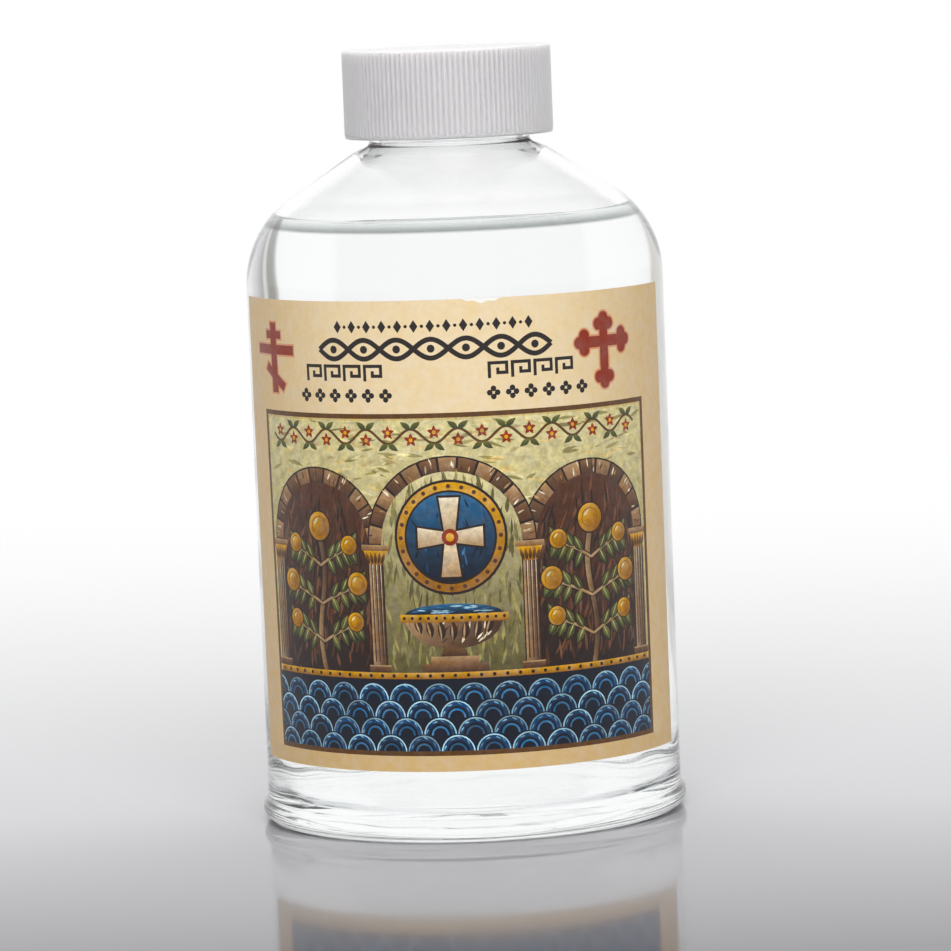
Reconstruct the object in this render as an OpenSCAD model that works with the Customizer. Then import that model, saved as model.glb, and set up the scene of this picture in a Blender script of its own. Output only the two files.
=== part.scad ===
// Round glass bottle of blessed water, with a ribbed screw cap, a sealing liner and a wrap label.
// Sizes are in millimetres. +Z is up, the bottle stands on z = 0 and the Z axis is its own axis.
// The middle of the label faces -Y.

/* [Bottle] */
// Outer diameter of the straight panel that carries the label
panel_d = 80; // [66:0.5:100]
// Height at which the straight panel ends and the shoulder begins
panel_top = 103.1; // [60:0.1:150]
// Thickness of the panel, the shoulder and the neck
wall_t = 2.2; // [1.4:0.1:3.2]
// Radius of the curve from the panel into the shoulder
shoulder_r = 19.8; // [8:0.1:24]
// Slope of the shoulder's cone in degrees
shoulder_slope = 33; // [25:0.5:45]

/* [Neck] */
// Outer diameter of the bare neck under the cap
neck_d = 30.8; // [26:0.1:33]
// Radius of the hollow curve from the cone into the neck
neck_blend = 1.2; // [0.5:0.1:3]
// Length of the straight bare neck
neck_h = 0.5; // [0.2:0.1:6]
// Outer diameter of the finish that the cap goes over
finish_d = 33.4; // [31.5:0.1:36]
// Height of the finish, from the bare neck to the lip
finish_h = 13.8; // [12.5:0.1:20]
// Rounding of the lip at its outer and inner edge
lip_r = 0.8; // [0.3:0.1:1.2]

/* [Base] */
// How far the foot bead stands out from the panel
foot_out = 1; // [0.3:0.1:2]
// Radius of the foot bead
foot_r = 2.3; // [1.5:0.1:4]
// Width of the flat ring that the bottle stands on
bearing_w = 3; // [1.5:0.1:6]
// Rise of the push-up in the middle of the base
push_up = 4; // [1:0.1:8]
// Thickness of the base
base_t = 5; // [3:0.1:9]
// Radius of the corner inside, between the panel and the base
corner_r = 6; // [3:0.1:10]

/* [Cap] */
// Height of the cap
cap_h = 16.8; // [13:0.1:18]
// Thickness of the cap's top
cap_top_t = 1.6; // [1:0.1:2.5]
// Thickness of the skirt, without its ribs
skirt_t = 1.4; // [1.2:0.1:2.2]
// Room between the finish and the skirt, where the threads engage
thread_room = 1.5; // [1:0.05:2]
// Number of upright ribs
rib_count = 120; // [60:1:150]
// How far a rib stands out
rib_h = 0.4; // [0.2:0.05:0.8]
// Width of a rib at its root
rib_w = 0.7; // [0.4:0.05:0.8]
// Width of a rib at its crest
rib_crest_w = 0.32; // [0.15:0.01:0.36]
// Rounding of the cap's top edge
edge_r = 0.5; // [0.3:0.1:1.5]
// Height of the smooth rim between the round edge and the ribs
rim_h = 0.2; // [0.1:0.1:3]
// Height of the smooth band below the ribs
band_h = 0.5; // [0.3:0.1:3]
// How far the rim and the band lie inside the crests of the ribs
smooth_in = 0.1; // [0.05:0.05:0.15]
// How far the core of the skirt lies inside the roots of the ribs
core_in = 0.1; // [0.05:0.05:0.3]
// Bevel inside the mouth of the skirt
lead_in = 0.5; // [0.2:0.1:0.9]

/* [Liner] */
// Thickness of the sealing liner
liner_t = 1; // [0.6:0.1:2]
// Gap between the liner's edge and the skirt
liner_gap = 0.2; // [0.1:0.05:0.5]
// Radius of the bead inside the skirt that keeps the liner in the cap
bead_r = 0.45; // [0.25:0.05:0.6]
// Gap between the liner and that bead
bead_gap = 0.2; // [0.1:0.05:0.4]

/* [Label] */
// Width of the label, measured round the bottle
label_w = 105; // [60:1:180]
// Height of the label's lower edge above the ground
label_low = 13.6; // [7:0.1:40]
// Bare panel between the label and the shoulder
label_clear = 1.3; // [0:0.1:20]
// Thickness of the label's paper
label_t = 0.12; // [0.08:0.01:0.3]
// Thickness of the glue under the label
glue_t = 0.03; // [0.02:0.01:0.1]

/* [Water] */
// Height of the empty space from the water up to the lip
headspace = 31.6; // [8:0.1:60]
// Gap drawn between the water and the glass
water_gap = 0.05; // [0.03:0.01:0.2]

/* [Hidden] */
$fn = 180;

arc_step = 6; // largest turn in degrees between two points of a profile's arc
cut_over = 1; // how far a cutting shape runs past the face that it opens

// Radii of the bottle
panel_r = panel_d / 2;
neck_r = neck_d / 2;
finish_r = finish_d / 2;
mouth_r = neck_r - wall_t;

// The foot bead bulges out of the panel and ends where its circle meets it
foot_mid_r = panel_r + foot_out - foot_r;
foot_top_a = acos((panel_r - foot_mid_r) / foot_r);

// The shoulder is an arc, then a cone, and a hollow curve leads on to the neck
cone_a = 90 - shoulder_slope;
shoulder_mid = [panel_r - shoulder_r, panel_top];
cone_low = shoulder_mid + shoulder_r * [cos(cone_a), sin(cone_a)];
neck_foot = [neck_r, cone_low.y + (cone_low.x - neck_r) * tan(shoulder_slope)];
blend_mid = neck_foot + neck_blend * to_round(cone_a, 0);

// Heights of the neck, the seat of the cap and the water
finish_z = blend_mid.y + neck_h;
flare_h = abs(finish_r - neck_r);
lip_z = finish_z + finish_h;
seat_z = lip_z + liner_t;
cap_z = seat_z + cap_top_t;
skirt_z = cap_z - cap_h;
water_z = lip_z - headspace;

// Radii of the cap, from the finish outwards
cap_bore_r = finish_r + thread_room;
root_r = cap_bore_r + skirt_t;
crest_r = root_r + rib_h;
smooth_r = crest_r - smooth_in;
core_r = root_r - core_in;
rim_z = cap_z - edge_r - rim_h;
rib_z = skirt_z + band_h;
rib_runout = smooth_r - core_r; // the grooves between the ribs run out at 45 degrees
bead_z = lip_z - bead_gap - bead_r;

// The label's place on the panel
label_r = panel_r + glue_t;
label_h = panel_top - label_clear - label_low;
label_a = label_w / label_r * 180 / PI;

// Way from the middle of a rounding of radius 1 to its corner, between two lines whose outward
// directions are a0 and a1
function to_round(a0, a1) =
  let (sum = [cos(a0) + cos(a1), sin(a0) + sin(a1)])
  sum / (1 + cos(a1 - a0));

// Points along an arc round mid, from angle a0 to angle a1
function arc(mid, r, a0, a1) =
  let (n = max(2, ceil(abs(a1 - a0) / arc_step)))
  [for (i = [0:n]) let (a = a0 + (a1 - a0) * i / n) mid + r * [cos(a), sin(a)]];

// Points along a low dome, from its top on the axis out to its rim at height z
function dome(rim_r, rise, z) =
  let (r = (rim_r * rim_r + rise * rise) / (2 * rise))
  arc([0, z + rise - r], r, 90, 90 - asin(rim_r / r));

function reversed(points) = [for (i = [len(points) - 1:-1:0]) points[i]];

// Outside of the glass, from the middle of the push-up to the top of the lip
function outside() = concat(
  dome(foot_mid_r - bearing_w, push_up, 0),
  arc([foot_mid_r, foot_r], foot_r, -90, foot_top_a),
  arc(shoulder_mid, shoulder_r, 0, cone_a),
  arc(blend_mid, neck_blend, 180 + cone_a, 180),
  [[neck_r, finish_z], [finish_r, finish_z + flare_h]],
  arc([finish_r - lip_r, lip_z - lip_r], lip_r, 0, 90)
);

// Inside of the glass, or a line a gap within it, from the neck down to the middle of the base
function inside(gap) =
  let (t = wall_t + gap, floor_r = panel_r - wall_t - corner_r)
  concat(
    arc(blend_mid, neck_blend + t, 180, 180 + cone_a),
    arc(shoulder_mid, shoulder_r - t, cone_a, 0),
    arc([floor_r, base_t + corner_r], corner_r - gap, 0, -90),
    reversed(dome(floor_r, push_up, base_t + gap))
  );

// Blown shell of even wall with a thick base
module bottle() {
  lip_inside = arc([mouth_r + lip_r, lip_z - lip_r], lip_r, 90, 180);
  color("lightcyan", 0.4)
  rotate_extrude()
  polygon(concat(outside(), lip_inside, inside(0)));
}

// Outline of the skirt, with a rib that narrows from root to crest at each step round it
module ribbed_outline() {
  root_a = rib_w / root_r * 90 / PI;
  crest_a = rib_crest_w / crest_r * 90 / PI;
  polygon([
    for (i = [0:rib_count - 1])
    for (corner = [[root_r, -root_a], [crest_r, -crest_a], [crest_r, crest_a], [root_r, root_a]])
    let (a = 360 * i / rib_count + corner[1])
    corner[0] * [cos(a), sin(a)]
  ]);
}

// Moulded shell: ribbed skirt between a smooth band and a smooth rim with a round edge, liner seat and bead
module cap() {
  core = concat(
    [[0, skirt_z], [smooth_r, skirt_z], [smooth_r, rib_z], [core_r, rib_z + rib_runout]],
    [[core_r, rim_z - rib_runout], [smooth_r, rim_z]],
    arc([smooth_r - edge_r, cap_z - edge_r], edge_r, 0, 90),
    [[0, cap_z]]
  );
  hollow = concat(
    [[0, skirt_z - cut_over], [cap_bore_r + lead_in, skirt_z - cut_over]],
    [[cap_bore_r + lead_in, skirt_z], [cap_bore_r, skirt_z + lead_in]],
    arc([cap_bore_r, bead_z], bead_r, 270, 90),
    [[cap_bore_r, seat_z], [0, seat_z]]
  );
  color("whitesmoke")
  difference() {
    union() {
      rotate_extrude()
      polygon(core);
      translate([0, 0, rib_z])
      linear_extrude(rim_z - rib_z)
      ribbed_outline();
    }
    rotate_extrude()
    polygon(hollow);
  }
}

// Foam disc between the lip and the cap's top
module cap_liner() {
  color("ivory")
  translate([0, 0, lip_z])
  cylinder(h = liner_t, r = cap_bore_r - liner_gap);
}

// Paper bent round the panel
module label() {
  color("wheat")
  rotate([0, 0, -90 - label_a / 2])
  rotate_extrude(angle = label_a)
  translate([label_r, label_low])
  square([label_t, label_h]);
}

// Filling of the bottle, up to its level
module water() {
  color("lightblue", 0.5)
  rotate_extrude()
  intersection() {
    polygon(concat([[0, lip_z], [mouth_r - water_gap, lip_z]], inside(water_gap)));
    square([panel_r, water_z]);
  }
}

bottle();
cap();
cap_liner();
label();
water();
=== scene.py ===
import math

import bpy
import numpy as np
from mathutils import Matrix, Vector
from mathutils.geometry import delaunay_2d_cdt


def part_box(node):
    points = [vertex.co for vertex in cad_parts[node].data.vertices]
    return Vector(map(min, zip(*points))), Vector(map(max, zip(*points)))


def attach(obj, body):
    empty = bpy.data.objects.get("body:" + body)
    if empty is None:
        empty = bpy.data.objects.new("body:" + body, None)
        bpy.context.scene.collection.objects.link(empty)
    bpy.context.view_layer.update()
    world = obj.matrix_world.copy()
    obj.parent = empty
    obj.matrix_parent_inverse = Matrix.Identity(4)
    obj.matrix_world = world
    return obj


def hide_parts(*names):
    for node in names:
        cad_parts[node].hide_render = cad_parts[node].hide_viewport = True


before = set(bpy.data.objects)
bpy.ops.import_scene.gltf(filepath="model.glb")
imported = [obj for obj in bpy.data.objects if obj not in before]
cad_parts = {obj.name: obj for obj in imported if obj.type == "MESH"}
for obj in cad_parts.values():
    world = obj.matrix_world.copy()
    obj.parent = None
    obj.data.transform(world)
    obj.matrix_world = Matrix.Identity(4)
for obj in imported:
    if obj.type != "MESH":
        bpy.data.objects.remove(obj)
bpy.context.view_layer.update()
scene = bpy.context.scene

# Sizes are in millimetres and angles in degrees, and meshes are scaled to metres when they are made.
MM = 0.001


def node_box(node):
    """Lowest and highest corner of a CAD node in millimetres."""
    low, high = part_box(node)
    return Vector(low) / MM, Vector(high) / MM


def outward(angle):
    """Direction at an angle."""
    return np.array((math.cos(math.radians(angle)), math.sin(math.radians(angle))))


def to_round(a0, a1):
    """Way from the middle of a rounding of radius 1 to its corner, between lines that face a0 and a1."""
    return (outward(a0) + outward(a1)) / (1.0 + outward(a0) @ outward(a1))


bottle_high = node_box("bottle")[1]
cap_low, cap_high = node_box("cap")
liner_high = node_box("cap_liner")[1]
label_low, label_high = node_box("label")
water_high = node_box("water")[1]

# Bottle, from the frame's boxes and the thicknesses and roundings of the glass
WALL = 2.2
FOOT_OUT = 1.0
FOOT_R = 2.3
FOOT_FILLET = 1.5
BEARING_W = 3.0
PUSH_UP = 4.0
BASE_T = 5.0
CORNER_R = 6.0
SHOULDER_R = 19.8
SHOULDER_SLOPE = 33.0
COLLAR_R = 18.4
COLLAR_SLOPE = 24.0
COLLAR_EDGE_R = 1.0
NECK_R = 15.4
NECK_BLEND = 1.2
NECK_H = 1.0
BORE_EDGE_R = 1.0
FINISH_R = 16.7
LIP_R = 0.8
LABEL_CLEAR = 1.3
PANEL_R = bottle_high.x - FOOT_OUT
PANEL_TOP = label_high.z + LABEL_CLEAR
LIP_Z = bottle_high.z
MOUTH_R = NECK_R - WALL
FOOT_MID_R = PANEL_R + FOOT_OUT - FOOT_R

# Shoulder and neck: an arc, a cone up to the collar and a hollow curve into the neck
CONE_A = 90.0 - SHOULDER_SLOPE
COLLAR_A = 90.0 - COLLAR_SLOPE
SHOULDER_MID = np.array((PANEL_R - SHOULDER_R, PANEL_TOP))
CONE_LOW = SHOULDER_MID + SHOULDER_R * outward(CONE_A)
COLLAR_Z = CONE_LOW[1] + (CONE_LOW[0] - COLLAR_R) * math.tan(math.radians(SHOULDER_SLOPE))
COLLAR_MID = (COLLAR_R, COLLAR_Z) - COLLAR_EDGE_R * to_round(CONE_A, COLLAR_A)
NECK_FOOT_Z = COLLAR_Z + (COLLAR_R - NECK_R) * math.tan(math.radians(COLLAR_SLOPE))
BLEND_MID = (NECK_R, NECK_FOOT_Z) + NECK_BLEND * to_round(COLLAR_A, 0.0)
BORE_RISE = (COLLAR_R - MOUTH_R) * math.tan(math.radians(SHOULDER_SLOPE))
BORE_EDGE_Z = COLLAR_Z + BORE_RISE - WALL / math.cos(math.radians(SHOULDER_SLOPE))
BORE_EDGE_MID = (MOUTH_R, BORE_EDGE_Z) + BORE_EDGE_R * to_round(CONE_A, 0.0)
FINISH_Z = BLEND_MID[1] + NECK_H
FLARE_H = FINISH_R - NECK_R

# Screw thread, one start and right-handed, the same on the finish and in the cap
LEAD = 4.233
THREAD_TURNS = 1.6
THREAD_START_Z = FINISH_Z + 4.6
THREAD_H = 1.1
THREAD_HALF_W = 1.1
CAP_THREAD_HALF_W = 0.75
THREAD_RUNOUT = 0.12

# Water, with a meniscus, and reaching a little into the glass so that no film of air shows
WATER_Z = water_high.z
WATER_SINK = 0.25
MENISCUS_H = 2.4
MENISCUS_W = 2.2
MENISCUS_END = 4.0 * MENISCUS_W
LEVEL_FROM = 12.0

# Cap
SEAT_GAP = 0.02
THREAD_ROOM = 1.5
RIBS = 120
RIB_H = 0.4
SMOOTH_IN = 0.1
EDGE_R = 0.25
MOUTH_EDGE_R = 0.2
RIM_H = 0.2
BAND_H = 0.5
BEAD_R = 0.45
BEAD_GAP = 0.2
LEAD_IN = 0.5
LEAD_EDGE_R = 0.15
CAP_Z = cap_high.z
SKIRT_Z = cap_low.z
SEAT_Z = liner_high.z + SEAT_GAP
BORE_R = FINISH_R + THREAD_ROOM
CREST_R = cap_high.x
ROOT_R = CREST_R - RIB_H
SMOOTH_R = CREST_R - SMOOTH_IN
RIB_TOP_Z = CAP_Z - EDGE_R - RIM_H
RIB_LOW_Z = SKIRT_Z + BAND_H
BEAD_Z = LIP_Z - BEAD_GAP - BEAD_R

# Label, measured round its outer face from its middle and up from its lower edge
LABEL_OUT_R = -label_low.y
LABEL_T = 0.12
LABEL_IN_R = LABEL_OUT_R - LABEL_T
LABEL_HALF_W = math.asin(label_high.x / LABEL_OUT_R) * LABEL_OUT_R
LABEL_H = label_high.z - label_low.z
LABEL_TAPER = 2.7


# Curves and meshes; radii that differ by less than CLOSE count as the same

CLOSE = 0.01


def smooth(t):
    """Smooth step from 0 to 1."""
    t = np.clip(t, 0.0, 1.0)
    return t * t * (3.0 - 2.0 * t)


def arc(mid, r, a0, a1, step=4.0):
    """Points along an arc round mid, from angle a0 to angle a1."""
    count = max(2, math.ceil(abs(a1 - a0) / step))
    turns = np.radians(np.linspace(a0, a1, count + 1))
    return [(mid[0] + r * math.cos(a), mid[1] + r * math.sin(a)) for a in turns]


def line(start, end, step):
    """Points from start to end, both included."""
    count = max(1, math.ceil(math.dist(start, end) / step))
    return [tuple(p) for p in np.linspace(start, end, count + 1)]


def dome(rim_r, rise, z):
    """Points along a low dome, from its top on the axis out to its rim at height z."""
    r = (rim_r * rim_r + rise * rise) / (2.0 * rise)
    points = arc((0.0, z + rise - r), r, 90.0, 90.0 - math.degrees(math.asin(rim_r / r)), 2.0)
    return [(0.0, z + rise)] + points[1:]


def joined(*runs):
    """One profile from several runs of points, without repeated points."""
    profile = []
    for point in (point for run in runs for point in run):
        if not profile or math.dist(profile[-1], point) > 0.001:
            profile.append(point)
    return profile


def add_object(name, data):
    """New object in the scene."""
    added = bpy.data.objects.new(name, data)
    bpy.context.collection.objects.link(added)
    return added


def add_piece(name, points, faces, body, node):
    """A mesh given in millimetres, as a piece that rides on a body and stands for a CAD node."""
    mesh = bpy.data.meshes.new(name)
    mesh.from_pydata((np.asarray(points) * MM).tolist(), [], faces)
    mesh.polygons.foreach_set("use_smooth", [True] * len(mesh.polygons))
    mesh.update()
    piece = add_object(name, mesh)
    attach(piece, body)
    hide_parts(node)
    return piece


def lathe(profile, columns, reshape=None):
    """Points and faces of a closed surface round the Z axis; the profile begins and ends on the axis.

    reshape takes the angle, radius, height and place in the profile of each point and gives its
    radius and height.
    """
    turn = np.arange(columns) * 2.0 * math.pi / columns
    rows = np.array(profile[1:-1])
    radius = np.repeat(rows[:, :1], columns, axis=1)
    height = np.repeat(rows[:, 1:], columns, axis=1)
    if reshape:
        place = np.arange(1, len(rows) + 1)[:, None]
        radius, height = reshape(turn[None, :], radius, height, place)
    ring = np.stack([radius * np.cos(turn), radius * np.sin(turn), height], axis=-1).reshape(-1, 3)
    first = (0.0, 0.0, profile[0][1])
    last = (0.0, 0.0, profile[-1][1])
    points = np.vstack([[first], ring, [last]])
    end = len(points) - 1
    top = end - columns
    faces = []
    for j in range(columns):
        k = (j + 1) % columns
        faces.append((0, 1 + k, 1 + j))
        faces.append((end, top + j, top + k))
    for i in range(len(rows) - 1):
        low = 1 + i * columns
        high = low + columns
        for j in range(columns):
            k = (j + 1) % columns
            faces.append((low + j, low + k, high + k, high + j))
    return points, faces


def thread_relief(turn, z, start_z, half_w):
    """Height of a rounded screw thread at an angle and a level."""
    relief = np.zeros(np.broadcast_shapes(turn.shape, z.shape))
    for lap in range(math.ceil(THREAD_TURNS)):
        along = turn / (2.0 * math.pi) + lap
        off = (z - start_z - LEAD * along) / half_w
        ends = smooth(along / THREAD_RUNOUT) * smooth((THREAD_TURNS - along) / THREAD_RUNOUT)
        relief = np.maximum(relief, THREAD_H * ends * np.clip(1.0 - off * off, 0.0, 1.0))
    return relief


# Bottle

rng = np.random.default_rng(4)
LOBES = [(n, a, rng.uniform(0.0, 2.0 * math.pi)) for n, a in ((3, 0.5), (5, 0.4), (8, 0.35), (13, 0.25))]
HEEL_Z = 10.0
HEEL_REACH = 7.0
HEEL_WAVE = 0.45
WALL_WAVE = 0.1
LOBE_TWIST = 0.03
WAVE_FADE = 20.0
BOTTLE_COLUMNS = 240
WATER_COLUMNS = 200


def wall_wave(turn, r, z):
    """Unevenness of the blown inner wall, strongest round the heel and none on the axis."""
    wave = sum(a * np.sin(n * turn + phase + LOBE_TWIST * n * z) for n, a, phase in LOBES)
    heel = np.exp(-((z - HEEL_Z) / HEEL_REACH) ** 2)
    wall = smooth((PANEL_TOP - z) / WAVE_FADE)
    return wave * (HEEL_WAVE * heel + WALL_WAVE * wall) * smooth(r / WAVE_FADE)


def glass_outside():
    """Outside of the glass, from the middle of the push-up to the top of the lip."""
    rise = math.sqrt((FOOT_R + FOOT_FILLET) ** 2 - (PANEL_R + FOOT_FILLET - FOOT_MID_R) ** 2)
    meet_a = math.degrees(math.atan2(rise, PANEL_R + FOOT_FILLET - FOOT_MID_R))
    fillet_z = FOOT_R + rise
    neck_top = (NECK_R, FINISH_Z)
    flare_top = (FINISH_R, FINISH_Z + FLARE_H)
    cone_top = COLLAR_MID + COLLAR_EDGE_R * outward(CONE_A)
    return joined(
        dome(FOOT_MID_R - BEARING_W, PUSH_UP, 0.0),
        arc((FOOT_MID_R, FOOT_R), FOOT_R, -90.0, meet_a),
        arc((PANEL_R + FOOT_FILLET, fillet_z), FOOT_FILLET, 180.0 + meet_a, 180.0),
        line((PANEL_R, fillet_z), (PANEL_R, PANEL_TOP), 2.0),
        arc(SHOULDER_MID, SHOULDER_R, 0.0, CONE_A, 2.0),
        line(CONE_LOW, cone_top, 1.0),
        arc(COLLAR_MID, COLLAR_EDGE_R, CONE_A, COLLAR_A, 2.0),
        arc(BLEND_MID, NECK_BLEND, 180.0 + COLLAR_A, 180.0),
        line((NECK_R, BLEND_MID[1]), neck_top, 0.5),
        line(neck_top, flare_top, 0.3),
        line(flare_top, (FINISH_R, LIP_Z - LIP_R), 0.22),
        arc((FINISH_R - LIP_R, LIP_Z - LIP_R), LIP_R, 0.0, 90.0, 12.0),
    )


def glass_inside(sink=0.0):
    """Inside of the glass, or a line sunk into it, from the neck down to the middle of the base."""
    wall = WALL - sink
    floor_r = PANEL_R - WALL - CORNER_R
    cone_top = BORE_EDGE_MID - BORE_EDGE_R * outward(CONE_A)
    cone_low = SHOULDER_MID + (SHOULDER_R - wall) * outward(CONE_A)
    return joined(
        arc(BORE_EDGE_MID, BORE_EDGE_R, 180.0, 180.0 + CONE_A),
        line(cone_top, cone_low, 1.0),
        arc(SHOULDER_MID, SHOULDER_R - wall, CONE_A, 0.0, 2.0),
        line((PANEL_R - wall, PANEL_TOP), (PANEL_R - wall, BASE_T + CORNER_R), 2.0),
        arc((floor_r, BASE_T + CORNER_R), CORNER_R + sink, 0.0, -90.0),
        dome(floor_r, PUSH_UP, BASE_T - sink)[::-1],
    )


def make_bottle():
    """Blown bottle with thread on its finish and an uneven inner wall."""
    outside = glass_outside()
    lip = arc((MOUTH_R + LIP_R, LIP_Z - LIP_R), LIP_R, 90.0, 180.0, 12.0)
    mouth = line((MOUTH_R, LIP_Z - LIP_R), (MOUTH_R, BORE_EDGE_MID[1]), 2.0)
    profile = joined(outside, lip, mouth, glass_inside())
    turning = len(outside)

    def reshape(turn, radius, height, place):
        threaded = (place < turning) & (radius > FINISH_R - CLOSE) & (height > FINISH_Z)
        relief = thread_relief(turn, height, THREAD_START_Z, THREAD_HALF_W)
        wave = np.where(place < turning, 0.0, wall_wave(turn, radius, height))
        return radius + np.where(threaded, relief, wave), height

    points, faces = lathe(profile, BOTTLE_COLUMNS, reshape)
    return add_piece("bottle_glass", points, faces, "bottle", "bottle")


def make_water():
    """Filling with a meniscus that climbs the glass."""
    wall = glass_inside(WATER_SINK)[::-1]
    inner_r = SHOULDER_R - WALL
    contact_z = WATER_Z + MENISCUS_H
    contact_r = SHOULDER_MID[0] + math.sqrt(inner_r ** 2 - (contact_z - PANEL_TOP) ** 2)
    side = [point for point in wall if point[1] < contact_z]
    surface = []
    for d in (*np.linspace(-WATER_SINK, MENISCUS_END, 30), *np.linspace(LEVEL_FROM, contact_r, 8)):
        climb = math.exp(-max(d, 0.0) / MENISCUS_W)
        surface.append((contact_r - d, WATER_Z + MENISCUS_H * climb))

    def reshape(turn, radius, height, place):
        wave = np.where(place < len(side), wall_wave(turn, radius, height), 0.0)
        return radius + wave, height

    points, faces = lathe(joined(side, surface), WATER_COLUMNS, reshape)
    return add_piece("water_fill", points, faces, "bottle", "water")


# Cap

GATE_R = 1.4
GATE_DEPTH = 0.15
RIB_STEPS = 8
ROOT_HALF = 0.42
CREST_HALF = 0.1
RIB_RUNOUT = 0.35
BAND_STEP = 0.05
LEAD_LOW = 0.1


def make_cap():
    """Moulded cap with rounded ribs outside and the thread and the liner's bead inside."""
    inside = joined(
        line((0.0, SEAT_Z), (BORE_R, SEAT_Z), 6.0),
        arc((BORE_R, BEAD_Z), BEAD_R, 90.0, 270.0, 18.0),
        line((BORE_R, BEAD_Z - BEAD_R), (BORE_R, SKIRT_Z + LEAD_IN), 0.33),
        line((BORE_R, SKIRT_Z + LEAD_IN), (BORE_R + LEAD_IN, SKIRT_Z + LEAD_LOW), 0.4),
    )
    gate = [
        (GATE_R * 0.8, CAP_Z - GATE_DEPTH * 0.8),
        (GATE_R * 0.6, CAP_Z - GATE_DEPTH),
        (0.0, CAP_Z - GATE_DEPTH),
    ]
    outside = joined(
        arc((BORE_R + LEAD_IN + LEAD_EDGE_R, SKIRT_Z + LEAD_EDGE_R), LEAD_EDGE_R, 180.0, 270.0, 45.0),
        arc((SMOOTH_R - MOUTH_EDGE_R, SKIRT_Z + MOUTH_EDGE_R), MOUTH_EDGE_R, 270.0, 360.0, 30.0),
        line((SMOOTH_R, SKIRT_Z + MOUTH_EDGE_R), (SMOOTH_R, RIB_LOW_Z), 0.3),
        line((ROOT_R, RIB_LOW_Z + BAND_STEP), (ROOT_R, RIB_LOW_Z + RIB_RUNOUT), 0.1),
        line((ROOT_R, RIB_LOW_Z + RIB_RUNOUT), (ROOT_R, RIB_TOP_Z - RIB_RUNOUT), 4.0),
        line((ROOT_R, RIB_TOP_Z - RIB_RUNOUT), (ROOT_R, RIB_TOP_Z), 0.1),
        line((SMOOTH_R, RIB_TOP_Z + BAND_STEP), (SMOOTH_R, CAP_Z - EDGE_R), 0.2),
        arc((SMOOTH_R - EDGE_R, CAP_Z - EDGE_R), EDGE_R, 0.0, 90.0, 10.0),
        line((SMOOTH_R - EDGE_R, CAP_Z), (GATE_R, CAP_Z), 4.0),
        gate,
    )
    turning = len(inside)

    def reshape(turn, radius, height, place):
        across = (turn * RIBS / (2.0 * math.pi) + 0.5) % 1.0 - 0.5
        rib = RIB_H * smooth((ROOT_HALF - np.abs(across)) / (ROOT_HALF - CREST_HALF))
        low_end = smooth((height - RIB_LOW_Z) / RIB_RUNOUT)
        high_end = smooth((RIB_TOP_Z - height) / RIB_RUNOUT)
        ribbed = (place >= turning) & (np.abs(radius - ROOT_R) < CLOSE)
        closed = np.where(ribbed, SMOOTH_R + (ROOT_R + rib - SMOOTH_R) * low_end * high_end, radius)
        bored = (place < turning) & (np.abs(radius - BORE_R) < CLOSE) & (height < BEAD_Z - BEAD_R)
        relief = thread_relief(turn, height, THREAD_START_Z - LEAD / 2.0, CAP_THREAD_HALF_W)
        return closed - np.where(bored, relief, 0.0), height

    points, faces = lathe(joined(inside, outside), RIBS * RIB_STEPS, reshape)
    return add_piece("cap_shell", points, faces, "cap", "cap")


# Label print: flat outlines painted one over the other, in millimetres on the paper

INK_BLACK = (34, 29, 27)
CROSS_RED = (138, 48, 26)
CROSS_LINE = (214, 150, 112)
CREAM = (236, 213, 171)
# Tan of the painted shade at the paper's ends and lower edge
SHADE_TAN = (214, 182, 130)
RUBBED = (247, 244, 238)
PAPER_BACK = (243, 240, 232)
UMBER = (92, 60, 28)
PALE_LINE = (208, 184, 120)
OLIVE = (148, 138, 84)
OLIVE_DARK = (92, 84, 50)
OLIVE_MID = (120, 112, 66)
GOLD = (214, 160, 48)
GOLD_DARK = (146, 96, 28)
PALE_GOLD = (216, 204, 150)
STONE = (124, 88, 58)
STONE_DARK = (70, 46, 32)
STONE_PALE = (174, 140, 100)
EARTH = (84, 50, 34)
EARTH_LIGHT = (108, 70, 48)
EARTH_DARK = (38, 26, 22)
NAVY = (14, 20, 34)
BLUE = (24, 56, 92)
BLUE_LIGHT = (48, 104, 146)
SKY = (150, 190, 206)
LEAF = (106, 106, 52)
LEAF_DARK = (54, 62, 34)
BONE = (236, 222, 192)
CROSS_LAYERS = ((0.35, CROSS_LINE), (0.0, CROSS_RED))

shapes = []


def paint(outline, colour, fade=None, towards=(0.0, -1.0)):
    """Adds an outline filled with a colour, or with a blend from colour to fade along a direction."""
    shapes.append((np.asarray(outline, dtype=float), colour, fade or colour, towards))


def rect(s0, v0, s1, v1):
    """Corners of a rectangle."""
    return [(s0, v0), (s1, v0), (s1, v1), (s0, v1)]


def disc(s, v, r, count=24):
    """Points round a circle."""
    return arc((s, v), r, 0.0, 360.0, 360.0 / count)[:-1]


def ribbon(points, width):
    """Outline of a stroke of even width along points, with mitred corners."""
    points = np.asarray(points, dtype=float)
    steps = np.diff(points, axis=0)
    steps /= np.linalg.norm(steps, axis=1)[:, None]
    before = np.vstack([steps[:1], steps])
    after = np.vstack([steps, steps[-1:]])
    along = before + after
    along /= np.linalg.norm(along, axis=1)[:, None]
    across = np.stack([-along[:, 1], along[:, 0]], axis=1)
    spread = width / 2.0 / np.clip((along * after).sum(axis=1), 0.5, 1.0)
    side = across * spread[:, None]
    return np.vstack([points + side, (points - side)[::-1]])


def turned(outline, s, v, angle):
    """Outline turned by an angle round the origin, then moved."""
    a = math.radians(angle)
    spin = np.array([[math.cos(a), math.sin(a)], [-math.sin(a), math.cos(a)]])
    return np.asarray(outline, dtype=float) @ spin + (s, v)


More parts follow.
